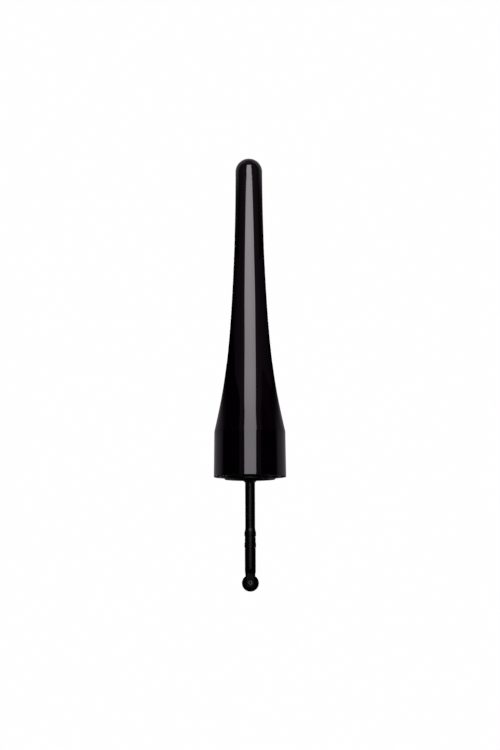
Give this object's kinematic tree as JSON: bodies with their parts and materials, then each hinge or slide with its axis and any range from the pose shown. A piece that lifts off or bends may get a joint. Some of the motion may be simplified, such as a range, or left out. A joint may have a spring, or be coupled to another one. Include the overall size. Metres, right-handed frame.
{
  "type": "wheel-tip applicator tool",
  "caption": "Slim flared screw-cap handle with a threaded inner closure, a thin dip stem and a small wheel that turns on a pin in a forked tip.",
  "frame": {"origin": "centre of the handle shell's lower rim, the ring that seats on a bottle's shoulder", "axes": "+Z along the handle towards its rounded tip, the stem points along -Z, the wheel's axle lies along Y"},
  "size_m": [0.0182, 0.0182, 0.1092],
  "materials": {
    "gloss_shell": "high gloss moulded black",
    "closure_plastic": "satin moulded black",
    "washer_rubber": "soft matt black",
    "stem_plastic": "satin moulded black",
    "fork_plastic": "satin moulded black",
    "wheel_plastic": "semi-gloss moulded black",
    "pin_plastic": "semi-gloss black"
  },
  "bodies": {
    "applicator": {"handle_shell": "gloss_shell", "inner_closure": "closure_plastic", "sealing_washer": "washer_rubber", "stem": "stem_plastic", "wheel_fork": "fork_plastic", "axle_pin": "pin_plastic"},
    "wheel": {"wheel": "wheel_plastic"}
  },
  "joints": [
    {"name": "wheel_spin", "type": "hinge", "parent": "applicator", "child": "wheel", "pos_m": [0, 0, -0.02665], "axis": [0, 1, 0], "continuous": true}
  ]
}
